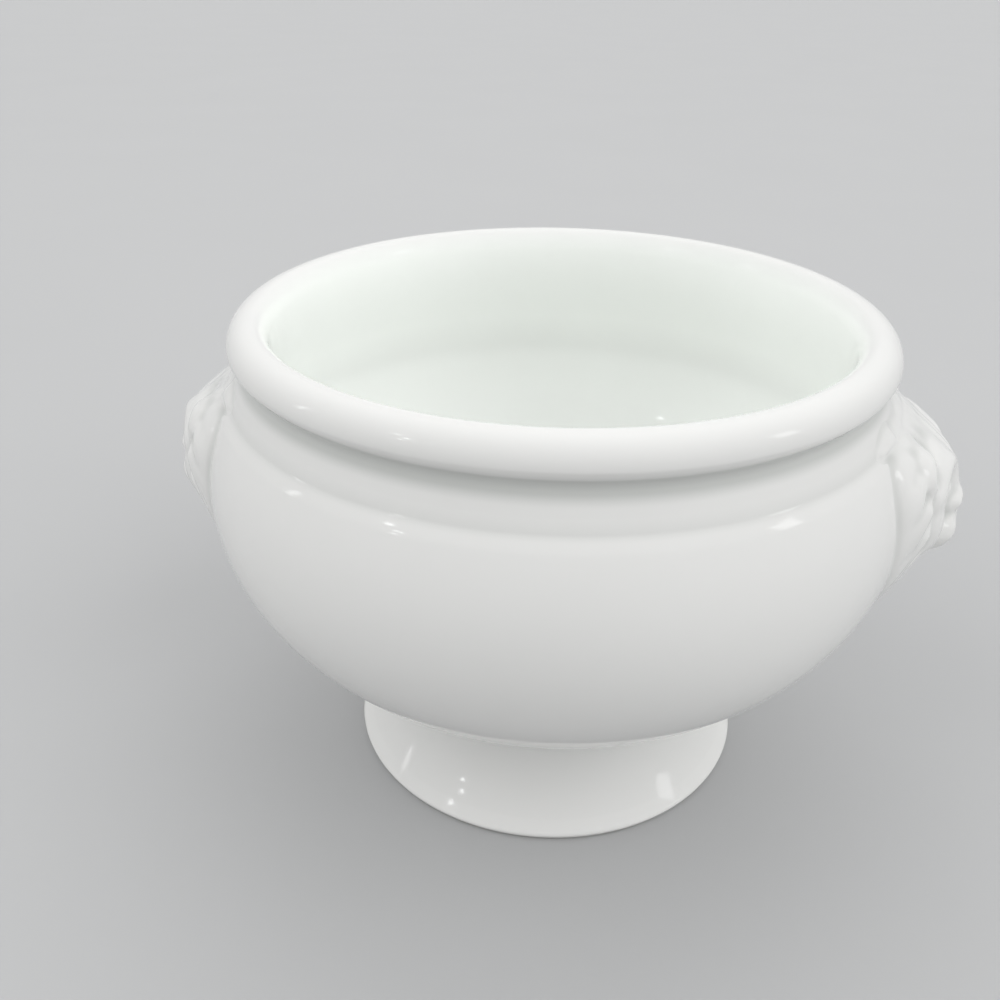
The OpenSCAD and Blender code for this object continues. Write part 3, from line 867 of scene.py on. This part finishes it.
def glaze_group():
    """Colour, roughness and height of clear glaze on white porcelain; painted shade in hollows, painted light
    inside
    """
    group = bpy.data.node_groups.get("porcelain_glaze")
    if group:
        return group
    group, w, given = new_tree(
        "porcelain_glaze", "ShaderNodeTree",
        (("Place", "NodeSocketVector"), ("Pool", "NodeSocketFloat"), ("Glaze", "NodeSocketColor"),
         ("Thick Glaze", "NodeSocketColor"), ("Lining", "NodeSocketFloat"),
         ("Lining Glaze", "NodeSocketColor"), ("Roughness", "NodeSocketFloat", GLAZE_ROUGHNESS)),
        (("Color", "NodeSocketColor"), ("Sheen Roughness", "NodeSocketFloat"), ("Height", "NodeSocketFloat")))
    clouds, ripple, grain = (w.noise(given["Place"], *sizes) for sizes in (CLOUDS, RIPPLE, GRAIN))
    # Thick glaze with painted shade in the hollows, and faint clouds where it ran
    drift = w.math("MULTIPLY_ADD", clouds, CLOUD_TINT, CLOUD_CLEAR)
    # Painted shade and thick glaze: the hollows take the darker colour
    thick = w.math("MULTIPLY_ADD", given["Pool"], POOL_AND_SHADE_TINT, drift, use_clamp=True)
    # Painted light: the inside of the bowl gets the lighter colour
    ground = w.mixed("RGBA", given["Lining"], given["Glaze"], given["Lining Glaze"])
    fine = w.math("MULTIPLY_ADD", grain, GRAIN_RELIEF, clouds)
    w.node("NodeGroupOutput", {
        "Color": w.mixed("RGBA", thick, ground, given["Thick Glaze"]),
        "Sheen Roughness": w.math("MULTIPLY_ADD", grain, GRAIN_ROUGHNESS, given["Roughness"]),
        "Height": w.math("MULTIPLY_ADD", ripple, RIPPLE_RELIEF, fine)})
    return group


def bare_group():
    """Mask and height of the ring that the glaze was wiped from"""
    group, w, given = new_tree(
        "wiped_ring", "ShaderNodeTree",
        (("Place", "NodeSocketVector"), ("Line Height", "NodeSocketFloat", WIPE_H)),
        (("Mask", "NodeSocketFloat"), ("Grit", "NodeSocketFloat")))
    height = w.node("ShaderNodeSeparateXYZ", {0: given["Place"]}).outputs["Z"]
    height = w.math("MULTIPLY_ADD", w.noise(given["Place"], *EDGE_WANDER), WIPE_WANDER, height)
    over = w.math("SUBTRACT", height, given["Line Height"])
    edge = w.node("ShaderNodeMapRange", {"Value": over, "From Min": WIPE_SOFT, "From Max": 0.0},
                  interpolation_type="SMOOTHSTEP")
    w.node("NodeGroupOutput", {"Mask": edge.outputs["Result"], "Grit": w.noise(given["Place"], *GRIT)})
    return group


def new_material(name):
    """A material, its wiring and its shader"""
    material = bpy.data.materials.new(name)
    material.use_nodes = True
    w = Wiring(material.node_tree)
    return material, w, w.nodes["Principled BSDF"]


def glaze_material(name, look, bare_ring):
    """Glazed porcelain, with a bare ring at the table where asked"""
    material, w, shader = new_material(name)
    material.diffuse_color = (*look.glaze, 1)
    place = w.node("ShaderNodeTexCoord").outputs["Object"]
    inputs = {"Place": place, "Glaze": (*look.glaze, 1), "Thick Glaze": (*look.pool, 1),
              "Lining Glaze": (*look.painted_light_inside, 1)}
    # The first kept value brings thick glaze with painted shade into the colour
    for socket, key in zip(("Pool", "Lining"), KEPT_VALUES):
        # The second kept value marks where the inside is painted lighter
        inputs[socket] = w.node("ShaderNodeAttribute", attribute_name=key).outputs["Fac"]
    glazed = w.node("ShaderNodeGroup", inputs, node_tree=glaze_group()).outputs
    tint, rough, height = (glazed[key] for key in ("Color", "Sheen Roughness", "Height"))
    if bare_ring:
        ring = w.node("ShaderNodeGroup", {"Place": place}, node_tree=bare_group()).outputs
        tint = w.mixed("RGBA", ring["Mask"], tint, (*look.biscuit, 1))
        rough = w.mixed("FLOAT", ring["Mask"], rough, BISCUIT_ROUGHNESS)
        height = w.mixed("FLOAT", ring["Mask"], height, ring["Grit"])
    bump = w.node("ShaderNodeBump", {"Distance": GLAZE_BUMP, "Height": height}).outputs["Normal"]
    w.fill(shader, {"Base Color": tint, "Roughness": rough, "Normal": bump})
    return material


def glaze(look):
    return bpy.data.materials.get("white_glaze") or glaze_material("white_glaze", look, False)


def floor_material(look):
    """Plain pale paper with a faint mottle"""
    material, w, shader = new_material("pale_paper")
    mottle = w.noise(w.node("ShaderNodeTexCoord").outputs["Object"], *MOTTLE)
    paper = w.mixed("RGBA", mottle, (*look.floor, 1), (*(c * PAPER_MOTTLE for c in look.floor), 1))
    w.fill(shader, {"Base Color": paper, "Roughness": PAPER_ROUGHNESS, "Specular IOR Level": PAPER_SPECULAR})
    return material


# The camera: place in metres, turns in degrees, lens and sensor in millimetres
CAMERA_PLACE = (0.014266, -0.163061, 0.138633)
CAMERA_YAW = -8.489
CAMERA_PITCH = 28.867
CAMERA_ROLL = 0.571
CAMERA_LENS = 35.587
CAMERA_SENSOR = 36.0
CAMERA_NEAR = 0.01
CAMERA_FAR = 100
FLOOR_R = 40.0
FLOOR_STEPS_ROUND = 96
AMBIENT = 0.23

# Broad soft light without reflections: name, the way it comes from, spread in degrees, strength
SOFT_LIGHT = (
    ("light_above", (0.0, -0.15, 1.0), 120.0, 1.6),
    ("light_right", (0.9, -0.25, 0.5), 70.0, 1.33),
    ("light_left", (-0.9, -0.25, 0.5), 70.0, 1.0),
    ("light_behind", (0.0, 0.9, 0.6), 70.0, 1.15),
)
# Small lamps that the glaze reflects: name, bearing from the back and rise in degrees, size, brightness
SMALL_LAMPS = (
    ("bulb_low", -136, 22, 0.06, 0.06, 11.0),
    ("bulb_middle", -136, 29, 0.06, 0.06, 11.0),
    ("bulb_high", -130, 35, 0.06, 0.06, 11.0),
    ("window_right", 99, 22, 0.22, 0.34, 2.4),
    ("window_left", -98, 16, 0.07, 0.34, 3.0),
)
LAMP_DISTANCE = 1.6
LAMP_AIM = (0.0, 0.0, 0.045)


def heading(bearing, elevation):
    """Direction at a bearing from the back and a height over level, both in radians"""
    level = math.cos(elevation)
    return Vector((math.sin(bearing) * level, math.cos(bearing) * level, math.sin(elevation)))


def make_camera():
    yaw, pitch, roll = (math.radians(a) for a in (CAMERA_YAW, CAMERA_PITCH, CAMERA_ROLL))
    ahead = heading(yaw, -pitch)
    right = Vector((math.cos(yaw), -math.sin(yaw), 0))
    up = right.cross(ahead)
    level = math.cos(roll) * right + math.sin(roll) * up
    upright = math.cos(roll) * up - math.sin(roll) * right
    data = bpy.data.cameras.new("camera")
    data.lens, data.sensor_width = CAMERA_LENS, CAMERA_SENSOR
    data.clip_start, data.clip_end = CAMERA_NEAR, CAMERA_FAR
    camera = new_object("camera", data)
    turn = Matrix((level, upright, -ahead)).transposed()
    camera.matrix_world = Matrix.Translation(CAMERA_PLACE) @ turn.to_4x4()
    bpy.context.scene.camera = camera


def make_world(look):
    """White light all round, and the backdrop's colour where the camera and the glaze see it"""
    world = bpy.data.worlds.new("soft_room")
    bpy.context.scene.world = world
    world.use_nodes = True
    w = Wiring(world.node_tree)
    w.nodes.clear()
    path = w.node("ShaderNodeLightPath").outputs
    shown = path["Is Camera Ray"]
    for more in ("Is Glossy Ray", "Is Transmission Ray"):
        shown = w.math("MAXIMUM", shown, path[more])
    lights = w.node("ShaderNodeBackground", {"Color": (1, 1, 1, 1), "Strength": AMBIENT}).outputs[0]
    seen = w.node("ShaderNodeBackground", {"Color": (*look.backdrop, 1)}).outputs[0]
    chosen = w.node("ShaderNodeMixShader", {0: shown, 1: lights, 2: seen}).outputs[0]
    w.node("ShaderNodeOutputWorld", {"Surface": chosen})


def aimed(lamp, toward):
    """Turns a lamp to shine along a direction"""
    lamp.rotation_mode = "QUATERNION"
    lamp.rotation_quaternion = Vector(toward).to_track_quat("-Z", "Y")


def make_lamps():
    for name, source, spread, strength in SOFT_LIGHT:
        data = bpy.data.lights.new(name, "SUN")
        data.angle, data.energy = math.radians(spread), strength
        lamp = new_object(name, data)
        lamp.visible_glossy = False
        aimed(lamp, -Vector(source))
    for name, bearing, elevation, width, height, brightness in SMALL_LAMPS:
        out = heading(math.radians(bearing), math.radians(elevation))
        data = bpy.data.lights.new(name, "AREA")
        data.shape = "RECTANGLE"
        data.size, data.size_y = width, height
        data.energy = brightness * math.pi * width * height
        lamp = new_object(name, data)
        lamp.location = Vector(LAMP_AIM) + out * LAMP_DISTANCE
        aimed(lamp, -out)


def make_floor(look):
    a = np.linspace(0, 2 * math.pi, FLOOR_STEPS_ROUND, endpoint=False)
    rim = np.stack([FLOOR_R * np.cos(a), FLOOR_R * np.sin(a), np.zeros(len(a))], -1)
    mesh = bpy.data.meshes.new("floor")
    mesh.from_pydata(rim.tolist(), [], [list(range(len(a)))])
    mesh.materials.append(floor_material(look))
    new_object("floor", mesh)


def outline_of(context):
    scene = context.scene
    return Outline(scene.crock_bowl, scene.crock_foot, scene.crock_head)


def settle(piece, *nodes):
    """Gives a finished piece its place in the frame"""
    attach(piece, "root")
    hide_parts(*nodes)


class CROCK_OT_bowl(bpy.types.Operator):
    """Turn the bowl from its outline and glaze it"""
    bl_idname = "crock.bowl"
    bl_label = "Bowl"

    def execute(self, context):
        o = outline_of(context)
        outline = bowl_outline(o)
        # Thick glaze with painted shade in the bends of the bowl
        kept = hollowness(outline), painted_light_inside_share(outline)
        piece = turned_piece("glazed_bowl", outline, kept, glaze(context.scene.crock_look), o.bowl.turns)
        settle(piece, "bowl")
        return {"FINISHED"}


class CROCK_OT_foot(bpy.types.Operator):
    """Turn the foot with its slip joint and glaze it down to the bare ring"""
    bl_idname = "crock.foot"
    bl_label = "Foot"

    def execute(self, context):
        o = outline_of(context)
        outline = foot_outline(o)
        material = glaze_material("foot_glaze", context.scene.crock_look, True)
        # Thick glaze with painted shade in the bends of the foot
        kept = hollowness(outline), np.zeros(len(outline))
        piece = turned_piece("glazed_foot", outline, kept, material, o.bowl.turns)
        settle(piece, "foot", "foot_slip_joint")
        return {"FINISHED"}


class CROCK_OT_lion_heads(bpy.types.Operator):
    """Model a lion's head on each side, run into the bowl with slip"""
    bl_idname = "crock.lion_heads"
    bl_label = "Lion's heads"

    def execute(self, context):
        o = outline_of(context)
        for side_name, side in (("right", 1), ("left", -1)):
            mesh = head_mesh(f"{side_name}_glazed_head", o, side)
            mesh.materials.append(glaze(context.scene.crock_look))
            piece = new_object(mesh.name, mesh)
            settle(piece, f"{side_name}_lion_head", f"{side_name}_head_slip_joint")
        return {"FINISHED"}


class CROCK_OT_stage(bpy.types.Operator):
    """Set up the pale floor, the soft lamps and the camera"""
    bl_idname = "crock.stage"
    bl_label = "Stage"

    def execute(self, context):
        look = context.scene.crock_look
        make_camera()
        make_world(look)
        make_lamps()
        make_floor(look)
        context.scene.view_settings.view_transform = "Standard"
        return {"FINISHED"}


class CROCK_PT_sidebar(bpy.types.Panel):
    """Sizes, colours and steps of the soup crock"""
    bl_label = "Soup Crock"
    bl_idname = "CROCK_PT_sidebar"
    bl_space_type = "VIEW_3D"
    bl_region_type = "UI"
    bl_category = "Crock"

    def draw(self, context):
        scene = context.scene
        for label, group in (("Bowl", scene.crock_bowl), ("Foot", scene.crock_foot),
                             ("Heads", scene.crock_head), ("Look", scene.crock_look)):
            box = self.layout.box()
            box.label(text=label)
            for key in group.__annotations__:
                box.prop(group, key)
        for operator in OPERATORS:
            self.layout.operator(operator.bl_idname)


OPERATORS = (CROCK_OT_bowl, CROCK_OT_foot, CROCK_OT_lion_heads, CROCK_OT_stage)
GROUPS = (("crock_bowl", BowlShape), ("crock_foot", FootShape),
          ("crock_head", HeadShape), ("crock_look", CrockLook))


def register():
    for name, group in GROUPS:
        bpy.utils.register_class(group)
        setattr(bpy.types.Scene, name, bpy.props.PointerProperty(type=group))
    for item in (*OPERATORS, CROCK_PT_sidebar):
        bpy.utils.register_class(item)


def unregister():
    for item in (CROCK_PT_sidebar, *reversed(OPERATORS)):
        bpy.utils.unregister_class(item)
    for name, group in reversed(GROUPS):
        delattr(bpy.types.Scene, name)
        bpy.utils.unregister_class(group)


def main():
    register()
    bpy.ops.crock.bowl()
    bpy.ops.crock.foot()
    bpy.ops.crock.lion_heads()
    bpy.ops.crock.stage()


if __name__ == "__main__":
    main()
